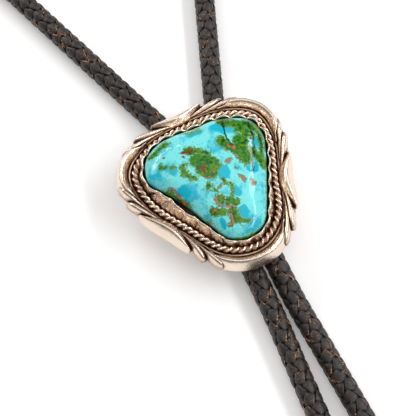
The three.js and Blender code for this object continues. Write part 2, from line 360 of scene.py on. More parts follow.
class FinishBench:
    """Lays out the nodes of one material."""

    def __init__(self, name: str, **sockets: float | tuple[float, ...]) -> None:
        """Starts a material.

        Args:
            name: the material's name.
            sockets: values of the shader's own sockets, with _ for a space.
        """
        self.material = bpy.data.materials.new(name)
        self.material.use_nodes = True
        self.tree = self.material.node_tree
        self.shader = self.tree.nodes["Principled BSDF"]
        for socket, value in sockets.items():
            self.shader.inputs[socket.replace("_", " ")].default_value = value

    def add(self, kind: str, feeds: dict, **settings) -> bpy.types.Node:
        """Adds a node.

        Args:
            kind: the node's type.
            feeds: input name or number to a value, or to the socket that feeds it.
            settings: the node's own properties.

        Returns:
            The node.
        """
        node = self.tree.nodes.new(kind)
        for key, value in settings.items():
            setattr(node, key, value)
        for key, value in feeds.items():
            if isinstance(value, Socket):
                self.tree.links.new(value, node.inputs[key])
            else:
                node.inputs[key].default_value = value
        return node

    def maths(self, operation: str, *values, clamp: bool = False) -> Socket:
        """One step of arithmetic on numbers or sockets."""
        feeds = dict(enumerate(values))
        return self.add("ShaderNodeMath", feeds, operation=operation, use_clamp=clamp).outputs[0]

    def millimetres(self) -> Socket:
        """The object's own coordinates, in millimetres."""
        place = self.tree.nodes.new("ShaderNodeTexCoord").outputs["Object"]
        return self.add("ShaderNodeVectorMath", {0: place, "Scale": 1 / MM}, operation="SCALE").outputs[0]

    def painted(self, name: str) -> Socket:
        """The number that a piece's points carry under a name."""
        return self.add("ShaderNodeAttribute", {}, attribute_name=name).outputs["Fac"]

    def noise(self, where, scale: float, detail: float = 3, roughness: float = 0.5) -> Socket:
        """Noise from 0 to 1, with its scale in waves for each unit of the coordinates."""
        feeds = {"Vector": where, "Scale": scale, "Detail": detail, "Roughness": roughness}
        return self.add("ShaderNodeTexNoise", feeds).outputs["Fac"]

    def between(self, value, low: float, high: float, start: float = 0, end: float = 1) -> Socket:
        """Eases from start to end as a value goes from low to high."""
        feeds = {"Value": value, "From Min": low, "From Max": high, "To Min": start, "To Max": end}
        return self.add("ShaderNodeMapRange", feeds, interpolation_type="SMOOTHSTEP").outputs[0]

    def blend(self, share, under, over) -> Socket:
        """Lays one colour over another by a share from 0 to 1."""
        node = self.add("ShaderNodeMix", {"Factor": share}, data_type="RGBA")
        for socket, colour in (("A", under), ("B", over)):
            target = next(s for s in node.inputs if s.name == socket and s.type == "RGBA")
            if isinstance(colour, Socket):
                self.tree.links.new(colour, target)
            else:
                target.default_value = (*colour, 1)
        return next(s for s in node.outputs if s.type == "RGBA")

    def cover(self, under, over, value, low: float, high: float, share: float = 1) -> Socket:
        """Lays one colour over another where a value eases from low to high, by a share at most."""
        return self.blend(self.between(value, low, high, 0, share), under, over)

    def ramp(self, share, stops: list[tuple[float, Triple]]) -> Socket:
        """A colour that changes from stop to stop as a share goes from 0 to 1."""
        node = self.add("ShaderNodeValToRGB", {0: share})
        elements = node.color_ramp.elements
        while len(elements) < len(stops):
            elements.new(1)
        for element, (at, colour) in zip(elements, stops):
            element.position = at
            element.color = (*colour, 1)
        return node.outputs["Color"]

    def wear(self, socket: str, source: Socket) -> None:
        """Feeds one of the shader's sockets."""
        self.tree.links.new(source, self.shader.inputs[socket])

    def relief(self, *layers: tuple[Socket, float]) -> None:
        """Gives the surface relief.

        Args:
            layers: a height from 0 to 1 and what 1 means in metres, for each layer.
        """
        normal = None
        for height, distance in layers:
            feeds = {"Height": height, "Distance": distance, "Strength": 1}
            if normal:
                feeds["Normal"] = normal
            normal = self.add("ShaderNodeBump", feeds).outputs[0]
        self.wear("Normal", normal)


@dataclass(frozen=True)
class OxidisedSilver:
    """Polished silver, bright on its crests and darkened brown in its recesses."""

    polished: Triple = (0.86, 0.72, 0.6)
    warm: Triple = (0.6, 0.42, 0.3)
    brown: Triple = (0.22, 0.13, 0.085)
    black: Triple = (0.025, 0.016, 0.012)

    def material(self) -> Material:
        """Makes the material, which reads the tarnish that a piece's points carry."""
        bench = FinishBench("oxidised_silver", Metallic=1.0)
        where = bench.millimetres()
        cloud = bench.noise(where, 0.9, 4)
        grain = bench.noise(where, 5, 4, 0.6)
        spread = bench.maths("MULTIPLY_ADD", cloud, 0.5, bench.painted("tarnish"))
        tarnish = bench.maths("SUBTRACT", spread, 0.25, clamp=True)
        stops = [(0.08, self.polished), (0.32, self.warm), (0.66, self.brown), (1.0, self.black)]
        bench.wear("Base Color", bench.ramp(tarnish, stops))
        rough = bench.between(tarnish, 0.1, 0.8, 0.2, 0.5)
        bench.wear("Roughness", bench.maths("MULTIPLY_ADD", grain, 0.12, rough))
        bench.relief((grain, 0.02 * MM), (cloud, 0.1 * MM))
        return bench.material


@dataclass(frozen=True)
class PlainSilver:
    """Plain silver with a fine brushed grain."""

    colour: Triple = (0.86, 0.8, 0.74)
    dulled: Triple = (0.72, 0.65, 0.58)

    def material(self) -> Material:
        """Makes the material, whose grain runs across the tie."""
        bench = FinishBench("plain_silver", Metallic=1.0)
        where = bench.millimetres()
        drawn = bench.add("ShaderNodeVectorMath", {0: where, 1: (0.6, 12, 12)}, operation="MULTIPLY")
        brushed = bench.noise(drawn.outputs[0], 1, 4, 0.7)
        cloud = bench.noise(where, 0.35, 3)
        bench.wear("Base Color", bench.cover(self.colour, self.dulled, cloud, 0.5, 0.75))
        bench.wear("Roughness", bench.between(brushed, 0.3, 0.7, 0.2, 0.36))
        bench.relief((brushed, 0.006 * MM))
        return bench.material


class MarkKind(Enum):
    """The kinds of mark in the stone, by the name of the distance that its points carry."""

    DEEP = "deep_gap"
    GREEN = "green_gap"
    RUST = "rust_gap"
    COPPER = "copper_gap"
    VEIN = "vein_gap"


@dataclass(frozen=True)
class Mark:
    """A mark in the stone: a ragged stroke from x, y to to_x, to_y, in millimetres."""

    x: float
    y: float
    to_x: float
    to_y: float
    radius: float


STONE_MARKS: dict[MarkKind, tuple[Mark, ...]] = {
    MarkKind.DEEP: (
        Mark(-9.5, 6, -9.5, 6, 1.2), Mark(-13, 7, -13, 7, 0.6), Mark(5.5, 13.5, 6.5, 12, 1.3),
        Mark(-1, 14, 1.5, 14, 0.8), Mark(-9.5, 0.5, -8.5, -0.5, 1.3), Mark(2, 1, 2, -0.5, 1.6),
        Mark(2.5, -11.5, 2, -12, 1.3), Mark(9.5, 0, 9.5, -1.5, 1.6), Mark(-4, -12, -4, -13, 0.8),
        Mark(2.5, -5.5, 3, -6.5, 1.1), Mark(13.5, 5.5, 13.5, 5, 1),
    ),
    MarkKind.GREEN: (
        Mark(8, 14.5, 15.5, 10, 1.6), Mark(11, 10, 13, 7.5, 1.4), Mark(5, 8.5, 7.5, 4.5, 1.4),
        Mark(10, 6.5, 9, 1.5, 1.9), Mark(16, 8, 13.5, 0.5, 0.8), Mark(11, 3.5, 13, -1, 1.1),
        Mark(-2.5, 5.5, 0, 3, 2.3), Mark(-3, 2.5, -0.5, 1, 1.5), Mark(-6.5, 6, -7.5, 4.5, 0.7),
        Mark(-7.5, 4, -5.5, 1.5, 0.7), Mark(-1.5, 8.5, 0.5, 6.5, 0.7), Mark(-4, 9.5, -2.5, 9, 1.2),
        Mark(-12, 8.5, -11, 8, 0.5), Mark(-9.5, 6.5, -9.5, 6.5, 0.7), Mark(-13, 13, -8, 14.5, 0.8),
        Mark(-1.5, 15, 2, 15, 0.4), Mark(-3, -2, -3, -2, 1), Mark(-2, -4, -2, -4, 0.5),
        Mark(1, -2, 1.5, -3.5, 0.5), Mark(2.5, -3.5, 1.5, -7, 0.4), Mark(-2, -6.5, -2, -6.5, 1.3),
        Mark(-5, -8.5, -2.5, -10, 1), Mark(-0.5, -8, 1.5, -8.5, 1), Mark(0, -10.5, -0.5, -12.5, 1.2),
        Mark(0.5, -13.5, 2.5, -14, 0.6), Mark(-1.5, -12, -2.5, -13.5, 0.4), Mark(-2, -18, 2, -17.5, 0.7),
        Mark(-7, -10, -6, -14, 0.7), Mark(-13, 2, -9.5, -4, 0.5), Mark(12, -5.5, 8, -15, 0.3),
    ),
    MarkKind.RUST: (
        Mark(-5.5, 9.5, -2, 9.5, 0.5), Mark(-5.5, 8, -5.5, 8, 0.5), Mark(-3, 3, -1.5, 3.5, 0.5),
        Mark(-1.5, 3.5, -2.5, 2, 0.4), Mark(-7, -10.5, -6, -11, 0.5), Mark(-10.5, 10.5, -10, 10.5, 0.5),
    ),
    MarkKind.COPPER: (
        Mark(6.5, 6.5, 7.5, 5.5, 0.5), Mark(4, 2.5, 5, 2.5, 0.4), Mark(7, 3, 7, 2.5, 0.3),
        Mark(5.5, -3, 6, -4, 0.5), Mark(8, -4.5, 8, -5.5, 0.4), Mark(5.5, 0, 5.5, -0.5, 0.3),
        Mark(-3, -5.5, -3, -7.5, 0.3), Mark(-2.5, -8, 0, -9.5, 0.3), Mark(-0.5, -9.5, -0.5, -11, 0.3),
        Mark(-0.5, -11, -2.5, -13.5, 0.3), Mark(-5, -8.5, -3.5, -8.5, 0.3), Mark(-12, 2, -11.5, 1, 0.3),
        Mark(-11, 0.5, -10, -3.5, 0.3), Mark(-2.5, 0.5, -1.5, 0.5, 0.3), Mark(0, 1, 0, 1, 0.4),
        Mark(-0.5, -3.5, 0, -3.5, 0.3), Mark(1, -9.5, 1, -9.5, 0.3),
    ),
    MarkKind.VEIN: (
        Mark(8, 14.5, 7, 8.5, 0.3), Mark(7, 8.5, 7.5, 7, 0.3), Mark(14.5, 11.5, 13, 5.5, 0.3),
        Mark(13, 5.5, 9, -2.5, 0.2), Mark(16, 7.5, 14, 2, 0.2),
    ),
}


@dataclass(frozen=True)
class SkyStone:
    """Polished turquoise: sky blue, with green clouds, brown and copper flecks and dark veins, and painted
    shade on its wall low in the bezel.
    """

    pale: Triple = (0.19, 0.82, 0.83)
    deep: Triple = (0.0, 0.5, 0.68)
    green: Triple = (0.015, 0.2, 0.02)
    olive: Triple = (0.14, 0.28, 0.006)
    dark: Triple = (0.012, 0.035, 0.008)
    rust: Triple = (0.2, 0.035, 0.006)
    copper: Triple = (0.46, 0.185, 0.065)
    milky: Triple = (0.6, 0.93, 0.93)
    seat_shade: Triple = (0.006, 0.005, 0.004)

    def material(self) -> Material:
        """Makes the material: the sky first, then each kind of mark over it. The stone's points carry
        how far they are outside the nearest mark of each kind, in millimetres."""
        bench = FinishBench("sky_stone", IOR=1.5, Roughness=0.06, Specular_IOR_Level=0.36)
        where = bench.millimetres()
        fine = bench.noise(where, 2.2, 6, 0.65)
        broad = bench.noise(where, 0.22, 4, 0.6)
        specks = bench.noise(where, 2.8, 3, 0.6)
        milk = bench.noise(where, 7, 4, 0.7)

        def gap(kind: MarkKind, raggedness: float) -> Socket:
            """The distance outside a kind of mark, with a ragged edge."""
            return bench.maths("MULTIPLY_ADD", fine, raggedness, bench.painted(kind.value))

        colour = bench.cover(self.pale, self.deep, broad, 0.47, 0.64)
        colour = bench.cover(colour, self.milky, milk, 0.54, 0.68, 0.6)
        colour = bench.cover(colour, self.deep, gap(MarkKind.DEEP, 0.8), 0.7, 0.2)
        clouds = gap(MarkKind.GREEN, 3.6)
        mottle = bench.noise(where, 0.9, 5, 0.7)
        leafy = bench.cover(self.green, self.olive, mottle, 0.48, 0.62)
        leafy = bench.cover(leafy, self.dark, mottle, 0.47, 0.36)
        dots = bench.maths("MULTIPLY", bench.between(specks, 0.6, 0.64), bench.between(clouds, 4.6, 3.2))
        colour = bench.blend(dots, colour, self.olive)
        colour = bench.cover(colour, self.olive, clouds, 2.15, 1.75)
        colour = bench.cover(colour, leafy, clouds, 1.9, 1.4)
        height = bench.add("ShaderNodeSeparateXYZ", {0: where}).outputs["Z"]
        rim = bench.maths("MULTIPLY_ADD", broad, 2.6, height)
        colour = bench.cover(colour, leafy, rim, 14.6, 13.7)
        colour = bench.cover(colour, self.dark, gap(MarkKind.VEIN, 0.9), 0.62, 0.3)
        colour = bench.cover(colour, self.rust, gap(MarkKind.RUST, 2.6), 1.3, 1.0)
        flecks = gap(MarkKind.COPPER, 2.2)
        colour = bench.cover(colour, self.dark, flecks, 1.45, 1.1, 0.75)
        colour = bench.cover(colour, self.copper, flecks, 1.1, 0.95)
        # painted shade: the stone's wall below the dome's shoulder goes near black, as if in the bezel's
        # shadow
        colour = bench.cover(colour, self.seat_shade, height, 12.5, 11.8)
        bench.wear("Base Color", colour)
        bench.relief((broad, 0.25 * MM), (fine, 0.006 * MM))
        return bench.material


@dataclass(frozen=True)
class PlaitedLeather:
    """Near-black leather strips, softly shiny, with painted shade in the grooves and worn brown along their
    edges.
    """

    face: Triple = (0.012, 0.009, 0.008)
    scuffed: Triple = (0.13, 0.1, 0.09)
    groove_shade_and_dark_grain: Triple = (0.003, 0.0025, 0.0025)
    worn: Triple = (0.8, 0.38, 0.16)

    def material(self) -> Material:
        """Makes the material, which reads how far across its strip and how deep a point lies."""
        bench = FinishBench("plaited_leather", IOR=1.5)
        where = bench.millimetres()
        across, depth = bench.painted("across"), bench.painted("depth")
        grain = bench.noise(where, 2.6, 6, 0.7)
        patches = bench.noise(where, 0.3, 3)
        speckle = bench.noise(where, 5.5, 4, 0.7)
        edge = bench.maths("MULTIPLY", bench.between(across, 0.74, 0.88), bench.between(grain, 0.5, 0.56))
        cracks = bench.maths("MAXIMUM", edge, bench.between(speckle, 0.61, 0.64))
        worn = bench.maths("MULTIPLY", cracks, bench.between(patches, 0.53, 0.58))
        hide = bench.ramp(speckle, [(0.3, self.groove_shade_and_dark_grain), (0.5, self.face), (0.72, self.scuffed)])
        hide = bench.blend(worn, hide, self.worn)
        # painted shade: deep points in the grooves, the strips' sides and undersides and the whole core
        # take the near-black groove colour; the same colour also marks the darkest grain
        shade = bench.maths("MAXIMUM", bench.between(depth, 0.12, 0.4), bench.between(across, 0.99, 1.06))
        bench.wear("Base Color", bench.blend(shade, hide, self.groove_shade_and_dark_grain))
        gloss = bench.between(grain, 0.3, 0.7, 0.24, 0.5)
        bench.wear("Roughness", bench.maths("MULTIPLY_ADD", shade, 0.4, gloss))
        bench.wear("Specular IOR Level", bench.maths("MULTIPLY_ADD", shade, -0.45, 0.5))
        bench.relief((grain, 0.09 * MM), (bench.noise(where, 11, 3), 0.015 * MM))
        return bench.material


# ---- the silver setting


@dataclass(frozen=True)
class Side:
    """One side of the border: the middle of its long leaf, and how far its ends and the tips of the
    two small leaves beside it lie to either side of that middle, in degrees."""

    name: str
    middle: float
    long_end: float
    inner_tip: float
    outer_tip: float


@dataclass
class SilverSetting:
    """The soldered setting: back plate, border of leaves and bands, wires and scalloped bezel."""

    material: Material
    steps: int = 264
    plate_thickness: float = 1.2 * MM
    rope_radius: float = 0.92 * MM
    rope_turns: int = 34
    rope_sunk: float = 0.15 * MM
    inner_wire_radius: float = 0.36 * MM
    inner_wire_offset: float = 1.5 * MM
    scallops: int = 26
    scallop_steps: int = 12
    bezel_height: float = 3.2 * MM
    bezel_gap: float = 0.4 * MM
    bezel_sheet: float = 0.42 * MM
    slack: float = 1.0 * MM
    slack_angle: float = -156
    slack_spread: float = 17
    sides: tuple[Side, ...] = (
        Side("top", 95, 17.8, 31, 41.4),
        Side("right", -22, 23.5, 35.9, 46),
        Side("left", -155.5, 23.1, 33.8, 44.4),
    )
    band_stem: float = 11
    lap: float = 3.6
    tip_lap: float = 4.6

    def __post_init__(self) -> None:
        """Takes the plate's height from the frame and draws the two outlines."""
        self.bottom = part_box("silver_setting")[0].z
        self.top = self.bottom + self.plate_thickness
        self.ring = Outline(WIRE_RING, RING_MIDDLE, self.steps)
        self.stone = Outline(STONE_GIRDLE, RING_MIDDLE, self.scallops * self.scallop_steps)

    def back_plate(self) -> Piece:
        """The plate that carries everything, with its raised rim."""
        profile = (
            (-4.0, -1.2), (3.9, -1.2), (4.2, -1.1), (4.35, -0.85), (4.4, 0.0), (4.25, 0.25),
            (3.6, 0.3), (2.6, 0.05), (1.0, 0.0), (-4.0, 0.0),
        )
        return loft([self.ring.ring(offset * MM, self.top + height * MM) for offset, height in profile])

    def round_wire(self, offset: float, radius: float, height: float) -> Piece:
        """A plain round wire soldered around the ring.

        Args:
            offset: how far it lies outside the ring, in metres.
            radius: its radius.
            height: the height of its middle.

        Returns:
            The wire.
        """
        sides = 10
        turns = [2 * math.pi * (k % sides) / sides for k in range(sides + 1)]
        rings = []
        for turn in turns:
            rings.append(self.ring.ring(offset + radius * math.cos(turn), height + radius * math.sin(turn)))
        return loft(rings, capped=False)

    def twisted_wire(self) -> Piece:
        """The rope of two twisted wires: one lead is modelled straight, repeated and bent round."""
        lead = self.ring.length / self.rope_turns
        strand = self.rope_radius * 0.53
        cuts = 14
        strands = []
        for hand in (1, -1):
            deselect_all()
            bpy.ops.mesh.primitive_circle_add(
                vertices=10, radius=strand, location=(0, hand * (self.rope_radius - strand), 0),
                rotation=(0, math.pi / 2, 0), fill_type="NOTHING",
            )
            place_in_mesh(bpy.context.object)
            bpy.ops.object.mode_set(mode="EDIT")
            bpy.ops.mesh.select_all(action="SELECT")
            for _ in range(cuts):
                bpy.ops.mesh.extrude_region_move(TRANSFORM_OT_translate={"value": (lead / cuts, 0, 0)})
            bpy.ops.object.mode_set(mode="OBJECT")
            strands.append(bpy.context.object)
        rope = joined(strands)
        twist = rope.modifiers.new("twist", "SIMPLE_DEFORM")
        twist.deform_method = "TWIST"
        twist.deform_axis = "X"
        twist.angle = -2 * math.pi
        run = rope.modifiers.new("run", "ARRAY")
        run.count = self.rope_turns
        run.use_relative_offset = False
        run.use_constant_offset = True
        run.constant_offset_displace = (lead, 0, 0)
        run.use_merge_vertices = True
        run.merge_threshold = 0.01 * MM
        self.bend_round(rope, self.top + self.rope_radius - self.rope_sunk)
        return rope

    def bend_round(self, piece: Piece, height: float) -> None:
        """Bends a straight piece, as long as the ring, round the ring.

        Args:
            piece: the piece, which lies along +X.
            height: the height that its axis comes to.
        """
        bpy.ops.curve.primitive_bezier_circle_add()
        guide = bpy.context.object
        guide.data.splines.clear()
        guide.data.dimensions = "2D"
        spline = guide.data.splines.new("POLY")
        spline.points.add(len(self.ring.points) - 1)
        for point, place in zip(spline.points, self.ring.points):
            point.co = (place.x, place.y, 0, 1)
        spline.use_cyclic_u = True
        bend = piece.modifiers.new("bend", "CURVE")
        bend.object = guide
        bend.deform_axis = "POS_X"
        apply_modifiers(piece)
        bpy.data.objects.remove(guide)
        piece.location.z = height
        place_in_mesh(piece)
        close_up(piece, 0.02 * MM)

    def bezel(self) -> Piece:
        """The thin wall around the stone: it leans in, its edge is cut in rounded scallops, and it
        stands away from the stone around one angle."""
        foot = [self.ring.place(angle, -0.8 * MM) for angle in self.stone.angles]
        lip = []
        for angle in self.stone.angles:
            away = abs((angle - self.slack_angle + 180) % 360 - 180)
            slack = self.slack * math.exp(-((away / self.slack_spread) ** 2))
            lip.append(self.stone.place(angle, self.bezel_gap + self.bezel_sheet + slack))
        phase = [i % self.scallop_steps / self.scallop_steps for i in range(len(foot))]
        swell = [math.sin(math.pi * p) for p in phase]
        rows = ((0.0, -0.05, 0.0), (0.3, 0.25, 0.1), (0.6, 0.5, 0.26), (0.85, 0.78, 0.34), (1.0, 1.0, 0.24))
        rings = []
        for inwards, rise, bulge in rows:
            ring = []
            for start, end, out, s in zip(foot, lip, self.stone.outward, swell):
                point = start.lerp(end, inwards) + out * (bulge * (2 * s - 1) * MM)
                wobble = noise.noise_vector(point / MM * 0.8 + Vector((0, 0, 3 * rise)))
                point += wobble * (0.35 * bulge * MM)
                point.z = self.top + rise * (self.bezel_height + 0.7 * MM * s**0.6)
                ring.append(point)
            rings.append(ring)
        edge = rings[-1]
        inner = [point - out * self.bezel_sheet for point, out in zip(edge, self.stone.outward)]
        crown = [a.lerp(b, 0.5) + Vector((0, 0, 0.07 * MM)) for a, b in zip(edge, inner)]
        base = [Vector((point.x, point.y, self.top - 0.05 * MM)) for point in inner]
        return loft([*rings, crown, inner, base, rings[0]], capped=False)

    def along(self, places: Pairs, section: tuple, sizes: Pairs) -> Piece:
        """Drags a leaf section along the border.

        Args:
            places: polar angles in degrees and offsets in metres that the spine passes through.
            section: points of the section, outwards and upwards, in shares of its half-width and height.
            sizes: half-width and height at equal steps along the spine.

        Returns:
            The leaf, smoothed.
        """
        spine = smooth_curve([self.ring.place(angle, offset) for angle, offset in places], closed=False)
        stops = walked(spine, np.linspace(0, length_of(spine), len(sizes)))
        rings = []
        for i, (half_width, height) in enumerate(sizes):
            here = Vector(stops[i])
            tangent = Vector(stops[min(i + 1, len(sizes) - 1)]) - Vector(stops[max(i - 1, 0)])
            side = Vector((tangent.y, -tangent.x, 0)).normalized()
            if side.dot(here - RING_MIDDLE) < 0:
                side.negate()
            rings.append([
                here + side * (out * half_width) + Vector((0, 0, self.bottom + up * height))
                for out, up in section
            ])
        leaf = loft(rings)
        smoothing = leaf.modifiers.new("smoothing", "SUBSURF")
        smoothing.levels = smoothing.render_levels = 2
        apply_modifiers(leaf)
        return leaf

    def long_leaf(self, side: Side) -> Piece:
        """The long leaf along the middle of a side: pointed at both ends, with its crest inside."""
        section = (
            (-1, 0.2), (-0.95, 0.5), (-0.7, 0.68), (-0.38, 0.88), (-0.16, 0.985), (0.0, 1.0), (0.14, 0.97),
            (0.36, 0.82), (0.66, 0.5), (0.9, 0.2), (0.97, 0.03), (0.8, 0.0), (-0.9, 0.0),
        )
        steps = 22
        sizes = []
        for i in range(steps + 1):
            bulge = math.sin(math.pi * (0.03 + 0.94 * i / steps))
            sizes.append((2.25 * MM * bulge**0.65, 3.9 * MM * (0.6 + 0.4 * bulge**0.6)))
        ends = [(side.middle + hand * (side.long_end + self.lap), 4.6 * MM) for hand in (-1, 1)]
        return self.along([ends[0], (side.middle, 3.0 * MM), ends[1]], section, sizes)

    def small_leaf(self, stem: float, tip: float) -> Piece:
        """A small leaf: thin at its stem beside the inner wire, full and blunt at its tip.

        Args:
            stem: the polar angle of its stem, in degrees.
            tip: the polar angle of its tip.

        Returns:
            The leaf.
        """
        section = (
            (-1, 0.2), (-0.96, 0.45), (-0.76, 0.7), (-0.42, 0.92), (-0.05, 1.0), (0.3, 0.95), (0.62, 0.78),
            (0.87, 0.52), (1.0, 0.22), (0.85, 0.0), (-0.9, 0.0),
        )
        steps = 18
        sizes = []
        for i in range(steps + 1):
            t = i / steps
            full = min(1, 0.25 + 1.1 * t) * (1 - 0.5 * max(0, (t - 0.84) / 0.16) ** 2)
            rise = (0.66 + 0.34 * min(1, 1.6 * t)) * (1 - 0.4 * max(0, (t - 0.8) / 0.2) ** 2)
            sizes.append((1.26 * MM * full, 3.4 * MM * rise))
        tip += self.tip_lap * (1 if tip > stem else -1)
        middle = stem + 0.55 * (tip - stem)
        return self.along([(stem, 1.7 * MM), (middle, 2.65 * MM), (tip, 4.75 * MM)], section, sizes)

    def corner_band(self, before: Side, after: Side) -> Piece:
        """The plain band around a corner, with a stem running in at either end.

        Args:
            before: the side that it comes from, going clockwise.
            after: the side that it goes to.

        Returns:
            The band.
        """
        section = (
            (-1, 0.2), (-0.95, 0.5), (-0.68, 0.72), (-0.34, 0.92), (-0.08, 1.0), (0.14, 0.98), (0.4, 0.84),
            (0.72, 0.5), (0.92, 0.2), (0.98, 0.03), (0.8, 0.0), (-0.9, 0.0),
        )
        start, end = before.middle - before.outer_tip, after.middle + after.outer_tip
        turn = (start - end) % 360
        stem, bend = self.band_stem, 0.45 * self.band_stem
        places = (
            (start + stem, 1.7), (start + bend, 2.1), (start, 3.1), (start - turn * 0.25, 3.55),
            (start - turn * 0.5, 3.6), (start - turn * 0.75, 3.55), (start - turn, 3.1),
            (start - turn - bend, 2.1), (start - turn - stem, 1.7),
        )
        steps = 36
        sizes = []
        for i in range(steps + 1):
            t = i / steps
            full = 0.3 + 0.7 * min(1, max(0, (min(t, 1 - t) - 0.1) / 0.09))
            sizes.append((1.78 * MM * full, 3.8 * MM * (0.68 + 0.32 * full)))
        return self.along([(angle, offset * MM) for angle, offset in places], section, sizes)

    def build(self) -> list[Piece]:
        """Builds the pieces of the setting.

        Returns:
            The plate, the wires, the bezel and the border.
        """
        wire_height = self.top + self.inner_wire_radius * 1.2
        made = {
            "back_plate": self.back_plate(),
            "inner_wire": self.round_wire(self.inner_wire_offset, self.inner_wire_radius, wire_height),
            "twisted_wire": self.twisted_wire(),
            "scalloped_bezel": self.bezel(),
        }
        small = []
        for side in self.sides:
            made[f"long_leaf_{side.name}"] = self.long_leaf(side)
            for hand in (-1, 1):
                inner = (side.middle + hand * 0.15 * side.long_end, side.middle + hand * side.inner_tip)
                outer = (side.middle + hand * 0.8 * side.long_end, side.middle + hand * side.outer_tip)
                small += [self.small_leaf(*inner), self.small_leaf(*outer)]
        made["small_leaves"] = joined(small)
        bands = [self.corner_band(side, self.sides[(i + 1) % 3]) for i, side in enumerate(self.sides)]
        made["corner_bands"] = joined(bands)
        pieces = []
        for name, piece in made.items():
            take_up(piece)
            bpy.ops.object.shade_smooth()
            stands_for = ("silver_setting",) if name == "back_plate" else ()
            pieces.append(on_root(piece, name, self.material, Slot.SETTING_SILVER, *stands_for))
        return pieces


PATINA_SHARES = {"scalloped_bezel": 0.6, "twisted_wire": 0.8}


@dataclass(frozen=True)
class Patina:
    """The darkening that polishing leaves in the recesses: a point is dark where its sky is shut off."""

    reach: float = 2.2 * MM
    lift: float = 0.03 * MM
    rays: int = 18
    plain_share: float = 1.9
    flank: float = 3.1 * MM
    flank_share: float = 0.55

    def sky(self) -> list[Vector]:
        """Directions spread evenly over the sky above a flat surface, down to just above it."""
        golden = math.pi * (3 - math.sqrt(5))
        lowest = 0.9
        directions = []
        for i in range(self.rays):
            up = 1 - (i + 0.5) / self.rays * lowest
            flat = math.sqrt(1 - up * up)
            directions.append(Vector((flat * math.cos(golden * i), flat * math.sin(golden * i), up)))
        return directions

    def darken(self, pieces: list[Piece], neighbours: list[Piece]) -> None:
        """Writes each point's tarnish, from 0 on an open crest to 1 in a closed recess.

        The small leaves keep more of it low on their flanks. The bezel and the rope keep less of it.

        Args:
            pieces: the pieces that tarnish.
            neighbours: other pieces that stand in their sky.
        """
        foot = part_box("silver_setting")[0].z
        points, faces = [], []
        for piece in [*pieces, *neighbours]:
            first = len(points)
            points += [v.co.copy() for v in piece.data.vertices]
            faces += [tuple(first + i for i in polygon.vertices) for polygon in piece.data.polygons]
        tree = BVHTree.FromPolygons(points, faces)
        sky = self.sky()
        up = Vector((0, 0, 1))
        for piece in pieces:
            share = PATINA_SHARES.get(piece.name, self.plain_share)
            values = []
            for vertex in piece.data.vertices:
                turn = up.rotation_difference(vertex.normal)
                start = vertex.co + vertex.normal * self.lift
                shut = 0.0
                for direction in sky:
                    far = tree.ray_cast(start, turn @ direction, self.reach)[3]
                    if far is not None:
                        shut += 1 - far / self.reach
                value = shut / self.rays * share
                if piece.name == "small_leaves":
                    value += self.flank_share * max(0, 1 - (vertex.co.z - foot) / self.flank)
                values.append(min(1.0, value))
            attribute = piece.data.attributes.new("tarnish", "FLOAT", "POINT")
            attribute.data.foreach_set("value", values)


# ---- the stone


@dataclass
class TurquoiseStone:
    """The stone: a straight girdle in the bezel and a dome that is steep at its edge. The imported
    model's dome ends in a flat top, and that share of the girdle is flat_top."""

    material: Material
    steps: int = 280
    rounds: int = 64
    dome: float = 5.2 * MM
    roundness: float = 2.6
    flat_top: float = 0.26

    def chart(self, stone: Piece) -> None:
        """Writes how far each point is outside the nearest mark of each kind, in millimetres."""
        places = []
        for vertex in stone.data.vertices:
            place = vertex.co / MM
            sway = noise.noise_vector(place * 0.4) * 0.7 + noise.noise_vector(place * 1.3) * 0.35
            places.append((place + sway)[:2])
        places = np.array(places)
        for kind, marks in STONE_MARKS.items():
            nearest = np.full(len(places), 99.0)
            for mark in marks:
                start = np.array((mark.x, mark.y))
                run = np.array((mark.to_x, mark.to_y)) - start
                apart = places - start
                share = np.clip(apart @ run / max(run @ run, 1e-6), 0, 1)
                gap = np.linalg.norm(apart - share[:, None] * run, axis=1) - mark.radius
                nearest = np.minimum(nearest, gap)
            attribute = stone.data.attributes.new(kind.value, "FLOAT", "POINT")
            attribute.data.foreach_set("value", nearest.astype(np.float32))

    def build(self) -> Piece:
        """Builds the stone.

        Returns:
            The stone.
        """
        low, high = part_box("turquoise_stone")
        girdle = Outline(STONE_GIRDLE, RING_MIDDLE, self.steps).ring(0, 0)
        shoulder = high.z - self.dome * math.sqrt(1 - self.flat_top**self.roundness)

        def ring(scale: float, height: float) -> Ring:
            """The girdle shrunk about the ring's middle, at one height."""
            return [RING_MIDDLE + (p - RING_MIDDLE) * scale + Vector((0, 0, height)) for p in girdle]

        foot = ((0.97, 0), (0.99, 0.5 * MM), (1, 1.2 * MM))
        rings = [ring(scale, low.z + rise) for scale, rise in foot]
        rings.append(ring(1, shoulder))
        for i in range(1, self.rounds):
            turn = math.pi / 2 * i / self.rounds
            scale = math.cos(turn) ** (2 / self.roundness)
            rings.append(ring(scale, shoulder + self.dome * math.sqrt(1 - scale**self.roundness)))
        rings.append(ring(0.01, shoulder + self.dome))
        stone = loft(rings)
        self.chart(stone)
        take_up(stone)
        bpy.ops.object.shade_smooth()
        return on_root(stone, "domed_stone", self.material, Slot.TURQUOISE, "turquoise_stone")


# ---- clasp and tips


